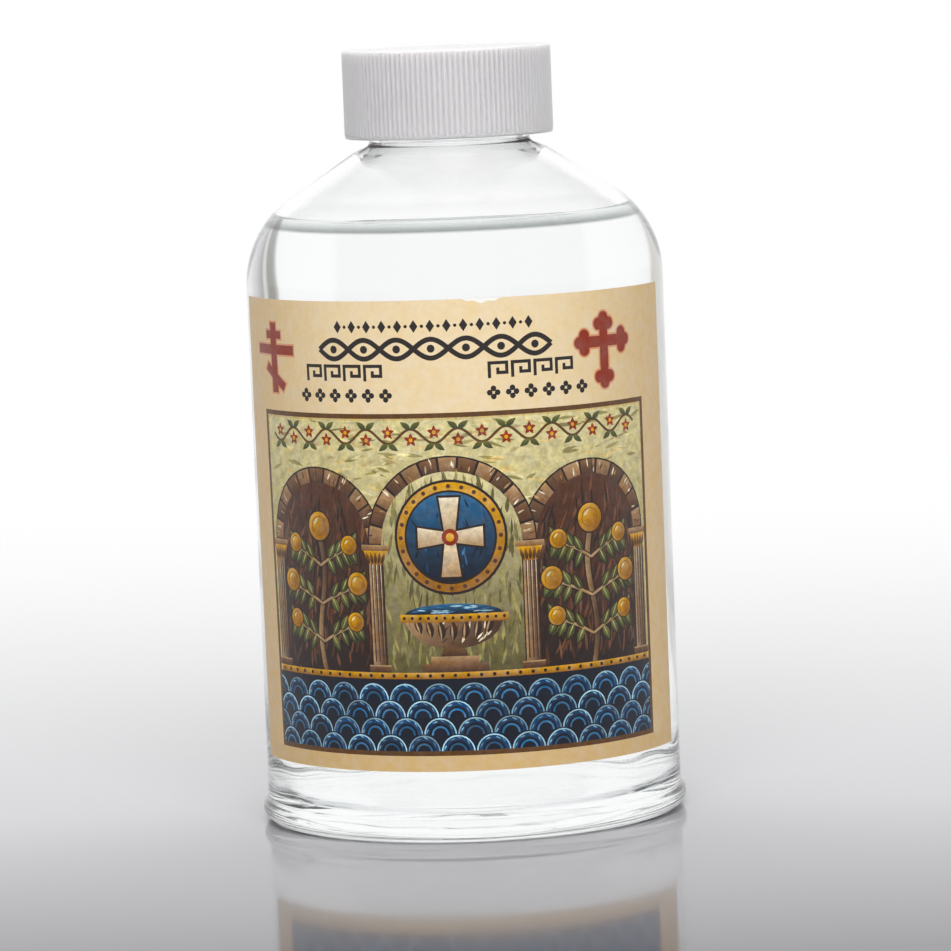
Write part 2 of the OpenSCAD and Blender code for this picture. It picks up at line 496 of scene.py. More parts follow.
def leaf(length, width, count=7):
    """Pointed leaf from the origin along +s."""
    t = np.linspace(0.0, 1.0, count)
    half = width / 2.0 * np.sin(math.pi * t ** 0.8)
    upper = np.stack([t * length, half], axis=1)
    lower = np.stack([t * length, -half], axis=1)[1:-1]
    return np.vstack([upper, lower[::-1]])


def arch(s, half, low, spring, count=20):
    """Opening with a round top."""
    top = arc((s, spring), half, 0.0, 180.0, 180.0 / count)
    return [(s - half, low), (s + half, low)] + top


def within(points, outline):
    """Which points lie inside a closed outline."""
    x, y = points[:, 0:1], points[:, 1:2]
    x0, y0 = outline[:, 0], outline[:, 1]
    x1, y1 = np.roll(x0, -1), np.roll(y0, -1)
    spans = (y0 > y) != (y1 > y)
    rise = np.where(y1 == y0, 1.0, y1 - y0)
    crossing = spans & (x < (x1 - x0) * (y - y0) / rise + x0)
    return crossing.sum(axis=1) % 2 == 1


brush = np.random.default_rng(11)


def shaded(colour, spread=0.12):
    """Colour made a little lighter or darker by chance."""
    return tuple(np.clip(np.asarray(colour) * brush.uniform(1.0 - spread, 1.0 + spread), 0.0, 255.0))


def brushed(outline, count, colours, length, width, angle, spread):
    """Tapered brush strokes inside an outline, at random places and roughly along an angle."""
    outline = np.asarray(outline, dtype=float)
    starts = brush.uniform(outline.min(axis=0), outline.max(axis=0), (count, 2))
    for start in starts[within(starts, outline)]:
        reach = length * brush.uniform(0.6, 1.3)
        blade = leaf(reach, width * brush.uniform(0.6, 1.3), 5)
        mark = turned(blade, *start, angle + brush.uniform(-spread, spread))
        if within(mark, outline).sum() > len(mark) - 3:
            paint(mark, shaded(colours[brush.integers(len(colours))]))


def three_bar_cross(s, v):
    """Cross with a short upper bar and a slanted lower bar."""
    bars = [
        ((0.0, 0.0), (2.1, 13.2), 0.0),
        ((0.0, 4.3), (5.4, 1.5), 0.0),
        ((0.0, 1.5), (13.2, 1.8), 0.0),
        ((0.2, -3.6), (7.4, 1.7), -32.0),
    ]
    for grow, colour in CROSS_LAYERS:
        for (x, y), (w, h), angle in bars:
            half_w = w / 2.0 + grow
            half_h = h / 2.0 + grow
            paint(turned(rect(-half_w, -half_h, half_w, half_h), s + x, v + y, angle), colour)


def budded_cross(s, v):
    """Latin cross whose four ends carry three buds."""
    bud_r = 1.2
    arm_w = 2.1
    centre_v = v + 1.6
    reach = {0.0: 5.4, 90.0: 3.9, 180.0: 5.4, 270.0: 7.2}
    for grow, colour in CROSS_LAYERS:
        for angle, length in reach.items():
            half = arm_w / 2.0 + grow
            paint(turned(rect(-half, -half, length, half), s, centre_v, angle), colour)
            for x, y in ((length + 0.5, 0.0), (length - 0.6, 1.3), (length - 0.6, -1.3)):
                paint(turned(disc(x, y, bud_r + grow, 16), s, centre_v, angle), colour)


def ornament_rows():
    """Four bands of plain ornament across the head of the label."""
    row_s = -2.2
    lozenge_v = 83.4
    wave_v = 79.2
    key_v = 73.3
    dots_v = 70.6
    lozenge = [(-0.8, 0.0), (0.0, -1.2), (0.8, 0.0), (0.0, 1.2)]
    for i in range(-6, 7):
        s = row_s + 3.1 * i
        paint(turned(lozenge, s, lozenge_v, 0.0), INK_BLACK)
        if i < 6:
            paint(disc(s + 1.55, lozenge_v, 0.33, 10), INK_BLACK)
    waves = 7
    half_w = 23.0
    path = np.linspace(-half_w, half_w, 24 * waves + 1)
    for sign in (1.0, -1.0):
        swing = sign * 1.75 * np.sin(path * math.pi * waves / (2.0 * half_w) + math.pi * waves / 2.0)
        paint(ribbon(np.stack([path + row_s, swing + wave_v], axis=1), 0.95), INK_BLACK)
    for i in range(waves):
        paint(disc(row_s + half_w * (2.0 * i + 1.0 - waves) / waves, wave_v, 0.75, 14), INK_BLACK)
    key = [(0.0, 0.0), (0.0, 2.8), (3.3, 2.8), (3.3, 0.95), (1.6, 0.95), (1.6, 1.9)]
    for key_s, dots_s in ((-20.3, -20.3), (16.8, 18.2)):
        for i in range(4):
            corner = np.array([key_s - 1.65 + 4.4 * (i - 1.5), key_v])
            paint(ribbon(np.asarray(key) + corner, 0.62), INK_BLACK)
        for i in range(6):
            for x, y in ((0.75, 0.0), (-0.75, 0.0), (0.0, 0.75), (0.0, -0.75)):
                paint(disc(dots_s + 3.6 * (i - 2.5) + x, dots_v + y, 0.55, 10), INK_BLACK)


PANEL_HALF = 44.0
PANEL_V = 3.0
PANEL_H = 64.2
WATER_H = 14.5
SPRING_V = 38.6
COLUMN_S = 15.0
COLUMN_W = 2.8
ABACUS_H = 1.1
RING_W = 2.6
LEDGE_H = 1.2
DISC_V = 41.0
FRAME_W = 0.9
FRAME_LINE_W = 0.35
FRAME_EDGE = FRAME_W + FRAME_LINE_W


def voussoirs(s, v, inner, outer, count):
    """Ring of wedge stones over an arch, each with a few brush strokes."""
    paint(arch(s, outer + 0.35, v, v), EARTH_DARK)
    for i in range(count):
        a0 = 180.0 * i / count + 0.9
        a1 = 180.0 * (i + 1) / count - 0.9
        stone = arc((s, v), outer, a0, a1) + arc((s, v), inner, a1, a0)
        pale, dark = ((STONE_PALE, STONE), (STONE, STONE_DARK))[i % 2]
        paint(stone, shaded(pale), dark)
        brushed(stone, 9, (BONE, STONE_PALE, STONE_DARK), 1.5, 0.3, (a0 + a1) / 2.0, 14.0)


def column(s, low, high):
    """Fluted column with a base and a capital."""
    half = COLUMN_W / 2.0

    def block(grow, v0, v1, *tones):
        paint(rect(s - half - grow, v0, s + half + grow, v1), *tones)

    block(0.25, low, high, EARTH_DARK)
    block(0.0, low, high, STONE_PALE, STONE_DARK, (1.0, 0.0))
    for i in range(3):
        groove = s + half * (i - 1) * 0.6
        paint(rect(groove - 0.13, low + 2.0, groove + 0.13, high - 2.5), STONE_DARK)
        paint(rect(groove + 0.13, low + 2.0, groove + 0.26, high - 2.5), BONE, STONE)
    block(0.9, low, low + 1.4, STONE, STONE_DARK)
    block(0.9, low + 1.15, low + 1.4, STONE_PALE)
    flare = [(s - half, high - 2.6), (s + half, high - 2.6), (s + half + 1.1, high), (s - half - 1.1, high)]
    paint(flare, GOLD, GOLD_DARK)
    for i in range(-2, 3):
        paint(turned(leaf(2.3, 0.7), s + 0.62 * i, high - 2.5, 90.0 - 9.0 * i), GOLD_DARK, EARTH_DARK)
    block(1.5, high, high + ABACUS_H, STONE_PALE, STONE)


def rosette(s, v, r, petals, petal_colour, heart_colour):
    """Round flower of pointed petals."""
    for i in range(petals):
        paint(turned(leaf(r, r * 0.55), s, v, 360.0 * i / petals + 90.0), shaded(petal_colour))
    paint(disc(s, v, r * 0.28, 12), heart_colour)


def fruit(s, v, r):
    """Gold disc with a dark rim, a ring and a glint."""
    paint(disc(s, v, r), EARTH_DARK)
    paint(disc(s, v, r * 0.9), GOLD, GOLD_DARK, (0.7, -0.7))
    paint(disc(s, v, r * 0.64, 18), GOLD_DARK)
    paint(disc(s, v, r * 0.56, 18), shaded(GOLD), GOLD_DARK, (0.7, -0.7))
    paint(turned(leaf(r * 0.6, r * 0.2, 5), s - r * 0.45, v + r * 0.1, 50.0), PALE_GOLD)


def frieze(v):
    """Running scroll with leaves and small flowers."""
    waves = 9
    half = PANEL_HALF - 3.5
    path = np.linspace(-half, half, 16 * waves + 1)
    swing = 1.35 * np.sin(path * math.pi * waves / half)
    paint(ribbon(np.stack([path, swing + v], axis=1), 0.5), UMBER)
    for i in range(2 * waves):
        crest = half * ((i + 0.5) / waves - 1.0)
        sign = 1.0 if math.sin(crest * math.pi * waves / half) > 0.0 else -1.0
        rosette(crest, v - sign * 0.7, 1.35, 5, CROSS_RED, GOLD)
        for heading in (35.0, 145.0):
            paint(turned(leaf(2.4, 1.1), crest, v + sign * 1.35, sign * heading), shaded(LEAF), LEAF_DARK)


def vine(s, low, side):
    """Tree of life: a stem with paired boughs, leaves and round fruit."""
    height = 25.6
    t = np.linspace(0.0, 1.0, 20)
    stem = np.stack([s + side * 0.9 * np.sin(t * 2.0 * math.pi), low + height * t], axis=1)
    paint(ribbon(stem, 1.7), EARTH_DARK)
    paint(ribbon(stem, 1.1), STONE_PALE, STONE_DARK, (1.0, 0.0))
    for v, reach, fruit_r in ((5.4, 8.2, 2.0), (12.6, 9.0, 2.4), (19.8, 7.4, 2.0)):
        for way in (-1.0, 1.0):
            u = np.linspace(0.0, 1.0, 12)
            bough_s = s + way * reach * np.sin(u * math.pi / 2.0)
            bough_v = low + v + 3.4 * u - 4.2 * u * (u - 1.0)
            bough = np.stack([bough_s, bough_v], axis=1)
            paint(ribbon(bough, 0.9), EARTH_DARK)
            paint(ribbon(bough, 0.5), STONE_PALE)
            for k in (2, 4, 6, 8, 10):
                for lift in (62.0, -62.0):
                    heading = (0.0 if way > 0.0 else 180.0) + way * lift
                    paint(turned(leaf(3.7, 1.9), *bough[k], heading), EARTH_DARK)
                    paint(turned(leaf(3.4, 1.5), *bough[k], heading), shaded(LEAF, 0.25), LEAF_DARK)
                    paint(turned(leaf(3.0, 0.3, 4), *bough[k], heading), PALE_GOLD, LEAF)
            fruit(bough_s[-1] - way * 0.3, bough_v[-1] + 0.6, fruit_r)
    fruit(s, low + height + 1.6, 3.0)


def wave_band(low, high):
    """Rows of overlapping scales, as a traditional sign for water."""
    paint(rect(-PANEL_HALF, low, PANEL_HALF, high), NAVY)
    scale_r = 3.5
    rows = 4
    per_row = math.ceil(PANEL_HALF / scale_r) + 1
    for row in reversed(range(rows)):
        v = low - 0.6 + row * (high - low - scale_r) / (rows - 1)
        for i in range(-per_row, per_row + 1):
            s = (i + 0.5 * (row % 2)) * 2.0 * scale_r * 0.96
            if abs(s) > PANEL_HALF + scale_r:
                continue
            rings = ((1.0, NAVY), (0.93, SKY), (0.86, BLUE), (0.64, NAVY), (0.5, BLUE_LIGHT), (0.4, NAVY))
            for share, colour in rings:
                paint(arc((s, v), scale_r * share, 0.0, 180.0, 15.0), shaded(colour, 0.22))
            for angle in (28.0, 64.0, 108.0, 149.0):
                at = (s, v) + scale_r * 0.75 * outward(angle + brush.uniform(-9.0, 9.0))
                paint(turned(leaf(1.3, 0.28, 4), *at, angle + 90.0), shaded(SKY, 0.3), BLUE_LIGHT)


def roundel():
    """Pale cross on a blue disc in a beaded gold ring."""
    for r, colour, fade in (
        (10.8, EARTH_DARK, None),
        (10.3, GOLD, GOLD_DARK),
        (8.8, EARTH_DARK, None),
        (8.4, BLUE_LIGHT, NAVY),
    ):
        paint(disc(0.0, DISC_V, r, 44), colour, fade)
    brushed(disc(0.0, DISC_V, 8.2, 30), 60, (BLUE, BLUE_LIGHT, NAVY), 2.6, 0.4, 90.0, 40.0)
    for i in range(24):
        paint(turned(disc(9.55, 0.0, 0.42, 8), 0.0, DISC_V, 15.0 * i), EARTH)
    for grow, colour, fade in ((0.45, EARTH_DARK, None), (0.0, BONE, STONE_PALE)):
        for angle, reach in ((0.0, 6.2), (90.0, 7.4), (180.0, 6.2), (270.0, 7.4)):
            tip = 1.9 + grow
            arm = [(0.0, -0.9 - grow), (reach + grow, -tip), (reach + grow, tip), (0.0, 0.9 + grow)]
            paint(turned(arm, 0.0, DISC_V, angle), colour, fade)
    paint(disc(0.0, DISC_V, 1.6, 18), CROSS_RED)
    paint(disc(0.0, DISC_V, 0.8, 12), GOLD)


def font(low):
    """Carved stone font with water in its bowl."""
    paint(rect(-6.4, low, 6.4, low + 1.6), STONE, STONE_DARK)
    paint(rect(-4.6, low + 1.6, 4.6, low + 3.0), STONE_PALE, STONE)
    paint([(-2.6, low + 3.0), (2.6, low + 3.0), (1.7, low + 5.4), (-1.7, low + 5.4)], STONE, STONE_DARK)
    rim_v = low + 10.2
    bowl = [(s, rim_v + (v - rim_v) * 0.62) for s, v in arc((0.0, rim_v), 9.4, 180.0, 360.0, 9.0)]
    paint(bowl, STONE_PALE, STONE_DARK, (0.6, -0.8))
    brushed(bowl, 60, (BONE, STONE, STONE_DARK), 1.8, 0.3, 60.0, 30.0)
    for i in range(-3, 4):
        at = (2.1 * i, low + 6.0 + 0.14 * i * i)
        paint(turned(leaf(3.9, 1.5), *at, 90.0 - 6.0 * i), STONE_DARK, EARTH_DARK)
        paint(turned(leaf(3.2, 0.4, 4), at[0] - 0.2, at[1], 92.0 - 6.0 * i), STONE_PALE)
    pool = [(s, rim_v + 0.6 + (v - rim_v) * 0.22) for s, v in arc((0.0, rim_v), 9.4, 0.0, 180.0, 9.0)]
    paint(pool, BLUE_LIGHT, NAVY)
    brushed(pool, 40, (SKY, BLUE_LIGHT), 2.2, 0.3, 0.0, 6.0)
    paint(rect(-10.4, rim_v - 0.8, 10.4, rim_v + 0.7), GOLD, GOLD_DARK)
    for i in range(-6, 7):
        paint(disc(1.6 * i, rim_v, 0.32, 8), EARTH_DARK)


def panel_picture():
    """Framed panel: an arcade over water, with a font under a roundel between two trees."""
    start = len(shapes)
    paint(rect(-PANEL_HALF, 0.0, PANEL_HALF, PANEL_H), UMBER)
    inset = PANEL_HALF - FRAME_W
    paint(rect(-inset, FRAME_W, inset, PANEL_H - FRAME_W), PALE_LINE)
    inset -= FRAME_LINE_W
    top = PANEL_H - FRAME_EDGE
    paint(rect(-inset, FRAME_EDGE, inset, top), PALE_GOLD, OLIVE)
    brushed(rect(-inset, SPRING_V, inset, top), 420, (PALE_GOLD, OLIVE, PALE_LINE), 3.4, 0.6, 0.0, 25.0)
    floor_v = WATER_H + LEDGE_H
    spring_v = SPRING_V + ABACUS_H
    bay = COLUMN_S - COLUMN_W / 2.0
    outer_s = inset - COLUMN_W / 2.0 - 0.6
    side_s = (COLUMN_S + outer_s) / 2.0
    side_half = (outer_s - COLUMN_S) / 2.0 - COLUMN_W / 2.0
    frieze(top - 3.0)
    for side in (-1.0, 1.0):
        voussoirs(side * side_s, spring_v, side_half, side_half + RING_W, 11)
        opening = arch(side * side_s, side_half, floor_v, spring_v)
        paint(opening, EARTH, EARTH_DARK)
        brushed(opening, 330, (EARTH, EARTH_LIGHT, EARTH_DARK), 4.2, 0.55, 80.0, 22.0)
    voussoirs(0.0, spring_v, bay, bay + RING_W, 13)
    opening = arch(0.0, bay, floor_v, spring_v)
    paint(opening, PALE_GOLD, OLIVE_DARK)
    brushed(opening, 360, (OLIVE, OLIVE_MID, OLIVE_DARK), 4.0, 0.6, 90.0, 18.0)
    roundel()
    font(floor_v)
    for side in (-1.0, 1.0):
        vine(side * side_s, floor_v, side)
        column(side * COLUMN_S, floor_v, SPRING_V)
        column(side * outer_s, floor_v, SPRING_V)
    wave_band(FRAME_EDGE, WATER_H)
    paint(rect(-inset, WATER_H, inset, floor_v), GOLD, GOLD_DARK)
    for i in range(-17, 18):
        paint(disc(2.45 * i, (WATER_H + floor_v) / 2.0, 0.36, 8), EARTH_DARK)
    paint(rect(-PANEL_HALF, 0.0, -inset - FRAME_LINE_W, PANEL_H), UMBER)
    paint(rect(inset + FRAME_LINE_W, 0.0, PANEL_HALF, PANEL_H), UMBER)
    paint(rect(-PANEL_HALF, 0.0, PANEL_HALF, FRAME_W), UMBER)
    for i in range(start, len(shapes)):
        outline = shapes[i][0] + (0.0, PANEL_V)
        outline[:, 0] = np.clip(outline[:, 0], -PANEL_HALF, PANEL_HALF)
        outline[:, 1] = np.clip(outline[:, 1], PANEL_V, PANEL_V + PANEL_H)
        shapes[i] = (outline,) + shapes[i][1:]


def paper_painted_shade():
    """Painted shade on the paper, which darkens it towards its ends and along its lower edge."""
    pale_half = 22.0
    for side in (-1.0, 1.0):
        paint(rect(side * pale_half, 0.0, side * LABEL_HALF_W, LABEL_H), CREAM, SHADE_TAN, (side, 0.0))
    paint(rect(-LABEL_HALF_W, 0.0, LABEL_HALF_W, PANEL_V), SHADE_TAN)


def rubbed_edge():
    """Small worn patch at the upper edge, where the paper shows."""
    t = np.linspace(0.0, 1.0, 14)
    depth = 0.75 * np.sin(math.pi * t) + 0.18 * np.sin(17.0 * t)
    start = 4.0
    length = 7.4
    low = np.stack([start + length * t, LABEL_H - np.clip(depth, 0.05, 1.0)], axis=1)
    paint(np.vstack([low, [(start + length, LABEL_H), (start, LABEL_H)]]), RUBBED)


def linear(colour):
    """Linear light of an sRGB colour with channels from 0 to 255."""
    c = np.asarray(colour, dtype=float) / 255.0
    return np.where(c <= 0.04045, c / 12.92, ((c + 0.055) / 1.055) ** 2.4)


PITCH = 1.5
PRINT_MERGE = 0.002
BACK_MERGE = 1e-6
MERGE_DIGITS = 4
SHARP_ANGLE = 40.0


def split(outline):
    """Outline with points added so that each edge is short enough to be bent with the paper."""
    points = []
    for start, end in zip(outline, np.roll(outline, -1, axis=0)):
        points.extend(line(start, end, PITCH)[:-1])
    return points


def paper_grid():
    """Evenly spaced spots on the sheet, off its edges and off its middle line."""
    columns = 2 * round(LABEL_HALF_W / PITCH) + 1
    lines = round(LABEL_H / PITCH)
    across = np.linspace(-LABEL_HALF_W, LABEL_HALF_W, columns + 1)[1:-1]
    up = np.linspace(0.0, LABEL_H, lines + 1)[1:-1]
    return [Vector((s, v)) for s in across for v in up]


def print_mesh():
    """Triangles that follow every painted outline, with a colour at each corner."""
    spots = []
    strokes = []
    sheet = np.array(rect(-LABEL_HALF_W, 0.0, LABEL_HALF_W, LABEL_H))
    for outline in [sheet] + [shape[0] for shape in shapes]:
        first = len(spots)
        spots.extend(Vector(point) for point in split(outline))
        count = len(spots) - first
        strokes.extend((first + i, first + (i + 1) % count) for i in range(count))
    points, _, triangles, *_ = delaunay_2d_cdt(spots + paper_grid(), strokes, [], 0, PRINT_MERGE)
    flat, merged = np.unique(np.array(points).round(MERGE_DIGITS), axis=0, return_inverse=True)
    corners = merged.ravel()[np.array(triangles)]
    corners = corners[(corners != np.roll(corners, 1, axis=1)).all(axis=1)]
    centres = flat[corners].mean(axis=1)
    colours = np.tile(linear(CREAM), (len(corners), 3, 1))
    for outline, colour, fade, towards in shapes:
        low = outline.min(axis=0)
        high = outline.max(axis=0)
        near = np.flatnonzero(((centres >= low) & (centres <= high)).all(axis=1))
        hit = near[within(centres[near], outline)]
        heading = np.asarray(towards)
        reach = outline @ heading
        share = (flat[corners[hit]] @ heading - reach.min()) / max(np.ptp(reach), 0.01)
        mixed = np.asarray(colour) + np.clip(share, 0.0, 1.0)[..., None] * np.subtract(fade, colour)
        colours[hit] = linear(mixed)
    above = (centres[:, 1] > PANEL_V) & (centres[:, 1] < PANEL_V + PANEL_H)
    painted = above & (np.abs(centres[:, 0]) < PANEL_HALF)
    return flat, corners, colours, painted


def make_label():
    """Printed paper bent round the panel, with its own thickness, cut a little aslant at its left end."""
    # Painted shade first: the paper darkens towards its ends and lower edge
    paper_painted_shade()
    three_bar_cross(-39.2, 77.2)
    budded_cross(32.9, 77.0)
    ornament_rows()
    panel_picture()
    rubbed_edge()
    flat, corners, colours, painted = print_mesh()

    def bent(spots, radius):
        aslant = np.clip(-spots[:, 0] / LABEL_HALF_W, 0.0, 1.0) * (1.0 - spots[:, 1] / LABEL_H)
        turn = (spots[:, 0] + LABEL_TAPER * aslant) / LABEL_OUT_R
        height = spots[:, 1] + label_low.z
        return np.stack([radius * np.sin(turn), -radius * np.cos(turn), height], axis=1)

    edges = {}
    front = corners.tolist()
    for triangle in front:
        for i in range(3):
            pair = (triangle[i], triangle[(i + 1) % 3])
            edges[tuple(sorted(pair))] = None if tuple(sorted(pair)) in edges else pair
    border = [pair for pair in edges.values() if pair]
    order = {spot: i for i, spot in enumerate(sorted({spot for pair in border for spot in pair}))}
    spots = [Vector(flat[spot]) for spot in order] + paper_grid()
    strokes = [(order[a], order[b]) for a, b in border]
    behind, _, triangles, *_ = delaunay_2d_cdt(spots, strokes, [], 0, BACK_MERGE)
    count = len(flat)
    back = [(a + count, c + count, b + count) for a, b, c in triangles]
    rim = [(a, order[a] + count, order[b] + count, b) for a, b in border]
    points = np.vstack([bent(flat, LABEL_OUT_R), bent(np.array(behind), LABEL_IN_R)])
    piece = add_piece("label_print", points, front + back + rim, "bottle", "label")
    ink = piece.data.color_attributes.new("ink", "FLOAT_COLOR", "CORNER")
    bare = np.tile(linear(PAPER_BACK), (3 * len(back) + 4 * len(rim), 1))
    paper = np.vstack([colours.reshape(-1, 3), bare])
    ink.data.foreach_set("color", np.hstack([paper, np.ones((len(paper), 1))]).ravel())
    mask = piece.data.attributes.new("painted", "FLOAT", "FACE")
    mask.data.foreach_set("value", np.concatenate([painted, np.zeros(len(back) + len(rim))]).astype(float))
    piece.data.set_sharp_from_angle(angle=math.radians(SHARP_ANGLE))
    return piece


# Materials

NOISE_LOW = 0.3
NOISE_HIGH = 0.7


def material(name):
    """New node material, with its tree and its shader."""
    mat = bpy.data.materials.new(name)
    mat.use_nodes = True
    tree = mat.node_tree
    return mat, tree, tree.nodes["Principled BSDF"]


def rgba(colour):
    """Linear light of an sRGB colour, with full opacity."""
    return (*linear(colour), 1.0)


def feed(tree, socket, value):
    """Joins an output to an input, or sets the input to a plain value."""
    if isinstance(value, bpy.types.NodeSocket):
        tree.links.new(value, socket)
    else:
        socket.default_value = value


def set_inputs(tree, node, values):
    """Feeds the inputs of a node by their names."""
    for name, value in values.items():
        feed(tree, node.inputs[name], value)


def add_node(tree, kind, values):
    """New node with its inputs fed."""
    node = tree.nodes.new(kind)
    set_inputs(tree, node, values)
    return node


def add_place(tree, space="Object"):
    """Coordinates of the point that is shaded."""
    return tree.nodes.new("ShaderNodeTexCoord").outputs[space]


def add_noise(tree, scale, detail=3.0, roughness=0.55):
    """Noise over the object's own coordinates, whose scale is in waves per metre."""
    values = {"Vector": add_place(tree), "Scale": scale, "Detail": detail, "Roughness": roughness}
    return add_node(tree, "ShaderNodeTexNoise", values).outputs["Fac"]


def add_spread(tree, value, start, end, low=0.0, high=1.0):
    """Node that spreads a value between start and end over low to high."""
    values = {"Value": value, "From Min": start, "From Max": end, "To Min": low, "To Max": high}
    return add_node(tree, "ShaderNodeMapRange", values)


def add_wander(tree, low, high, scale, detail=3.0, roughness=0.55):
    """Value that wanders from low to high with noise."""
    noise = add_noise(tree, scale, detail, roughness)
    return add_spread(tree, noise, NOISE_LOW, NOISE_HIGH, low, high).outputs["Result"]


def add_math(tree, operation, first, second):
    """Result of a math node on two values, each a number or a socket."""
    node = tree.nodes.new("ShaderNodeMath")
    node.operation = operation
    feed(tree, node.inputs[0], first)
    feed(tree, node.inputs[1], second)
    return node.outputs["Value"]


def add_ramp(tree, value, tones):
    """Blend of sRGB colours along a value; each tone is a place and a colour."""
    low = tones[0][0]
    high = tones[-1][0]
    share = add_spread(tree, value, low, high).outputs["Result"]
    ramp = add_node(tree, "ShaderNodeValToRGB", {"Fac": share})
    stops = ramp.color_ramp.elements
    while len(stops) < len(tones):
        stops.new(0.5)
    for stop, (place, colour) in zip(stops, tones):
        stop.position = (place - low) / (high - low)
        stop.color = rgba(colour)
    return ramp.outputs["Color"]


def add_bump(tree, shader, distance, scale, detail, under=None):
    """Bump of noise, up to a distance in metres, over another bump if one is given."""
    height = add_noise(tree, scale, detail)
    node = add_node(tree, "ShaderNodeBump", {"Strength": 1.0, "Distance": distance, "Height": height})
    if under:
        tree.links.new(under, node.inputs["Normal"])
    tree.links.new(node.outputs["Normal"], shader.inputs["Normal"])
    return node.outputs["Normal"]


def add_mix(tree, factor, first, second):
    """Blend of two colours, each a value or a socket."""
    node = add_node(tree, "ShaderNodeMix", {"Factor": factor})
    node.data_type = "RGBA"
    for name, colour in (("A", first), ("B", second)):
        socket = next(s for s in node.inputs if s.name == name and s.type == "RGBA")
        feed(tree, socket, colour)
    return next(s for s in node.outputs if s.type == "RGBA")


CLEAR_WATER = (254, 255, 255)
# Painted shade in the water's colour by height: a dark grey-green band at the meniscus
MENISCUS_SHADE_TONES = (
    (0.0, CLEAR_WATER),
    (WATER_Z + 0.25, CLEAR_WATER),
    (WATER_Z + 0.32, (76, 86, 84)),
    (WATER_Z + 1.0, (122, 132, 129)),
    (WATER_Z + 1.8, (205, 212, 210)),
    (WATER_Z + MENISCUS_H, (246, 249, 248)),
)


def clear_glass():
    """Clear glass with the faint ripple of a blown wall and a few smears."""
    mat, tree, shader = material("clear_glass_look")
    set_inputs(tree, shader, {
        "Base Color": (0.998, 1.0, 0.999, 1.0),
        "Transmission Weight": 1.0,
        "IOR": 1.46,
        "Roughness": add_wander(tree, 0.0, 0.03, 45.0, 4.0),
    })
    add_bump(tree, shader, 0.00005, 55.0, 1.0)
    return mat


def water_look():
    """Still water with hardly any ripple, its colour darkened to a painted grey-green shade in a band where
    its edge climbs the glass.
    """
    mat, tree, shader = material("water_look")
    parts = add_node(tree, "ShaderNodeSeparateXYZ", {"Vector": add_place(tree)}).outputs
    height = add_math(tree, "MULTIPLY", parts["Z"], 1.0 / MM)
    set_inputs(tree, shader, {
        "Base Color": add_ramp(tree, height, MENISCUS_SHADE_TONES),
        "Transmission Weight": 1.0,
        "IOR": 1.333,
        "Roughness": 0.0,
    })
    add_bump(tree, shader, 0.00002, 40.0, 1.0)
    return mat


def cap_plastic():
    """White moulded plastic, a little scuffed."""
    mat, tree, shader = material("white_cap_look")
    cloud = add_noise(tree, 90.0, 4.0)
    set_inputs(tree, shader, {
        "Base Color": add_mix(tree, cloud, rgba((208, 205, 207)), rgba((218, 216, 217))),
        "Roughness": add_wander(tree, 0.3, 0.44, 400.0, 5.0),
        "Subsurface Weight": 1.0,
        "Subsurface Radius": (1.0, 0.97, 0.92),
        "Subsurface Scale": 0.004,
    })
    fine = add_bump(tree, shader, 0.00002, 2600.0, 2.0)
    add_bump(tree, shader, 0.00003, 120.0, 2.0, fine)
    return mat


def liner_foam():
    """Pale foamed plastic with fine cells."""
    mat, tree, shader = material("liner_foam_look")
    cloud = add_noise(tree, 700.0, 4.0)
    set_inputs(tree, shader, {
        "Base Color": add_mix(tree, cloud, rgba((236, 234, 226)), rgba((246, 245, 240))),
        "Roughness": add_wander(tree, 0.6, 0.8, 300.0),
        "Subsurface Weight": 1.0,
        "Subsurface Radius": (1.0, 0.98, 0.94),
        "Subsurface Scale": 0.006,
    })
    add_bump(tree, shader, 0.0001, 3200.0, 2.0)
    return mat


def printed_paper():
    """Coated paper with a soft shine, whose inks are mottled, more so in the panel."""
    mat, tree, shader = material("label_paper_look")
    ink = tree.nodes.new("ShaderNodeAttribute")
    ink.attribute_name = "ink"
    painted = tree.nodes.new("ShaderNodeAttribute")
    painted.attribute_name = "painted"
    mottle = add_node(tree, "ShaderNodeMix", {
        "Factor": painted.outputs["Fac"],
        "A": add_wander(tree, 0.96, 1.04, 900.0, 6.0, 0.65),
        "B": add_wander(tree, 0.66, 1.34, 700.0, 6.0, 0.7),
    })
    shade = add_node(tree, "ShaderNodeHueSaturation", {
        "Color": ink.outputs["Color"],
        "Value": mottle.outputs["Result"],
        "Saturation": add_wander(tree, 0.88, 1.12, 420.0),
    })
    set_inputs(tree, shader, {
        "Base Color": shade.outputs["Color"],
        "Roughness": add_wander(tree, 0.44, 0.54, 160.0, 4.0),
        "Specular IOR Level": 0.35,
        "Coat Weight": 0.2,
        "Coat Roughness": 0.25,
    })
    fibre = add_bump(tree, shader, 0.00003, 2400.0, 3.0)
    add_bump(tree, shader, 0.00012, 70.0, 1.0, fibre)
    return mat


def finish_with(piece, look):
    """Gives a piece one material."""
    piece.data.materials.clear()
    piece.data.materials.append(look)


finish_with(make_bottle(), clear_glass())
finish_with(make_water(), water_look())
finish_with(make_cap(), cap_plastic())
finish_with(make_label(), printed_paper())
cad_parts["cap_liner"].material_slots[0].material = liner_foam()


# Studio, in metres: a glossy pale floor with painted shade in front of the bottle that turns white behind
# it, a white surround and soft lamps

FLOOR_HALF = 6.0
FLOOR_Z = -0.0002
WHITE = (255, 255, 255)
# Painted shade in the floor's colour by depth: darkest just in front of the bottle, as if the light fell
# off towards the camera
FLOOR_SHADE_TONES = (
    (-0.9, WHITE),
    (-0.45, (150, 150, 152)),
    (-0.15, (98, 97, 101)),
    (0.0, (178, 177, 181)),
    (0.16, (200, 200, 202)),
    (0.33, (224, 224, 225)),
    (0.6, WHITE),
)
WHITE_FROM = 0.25
WHITE_TO = 0.75

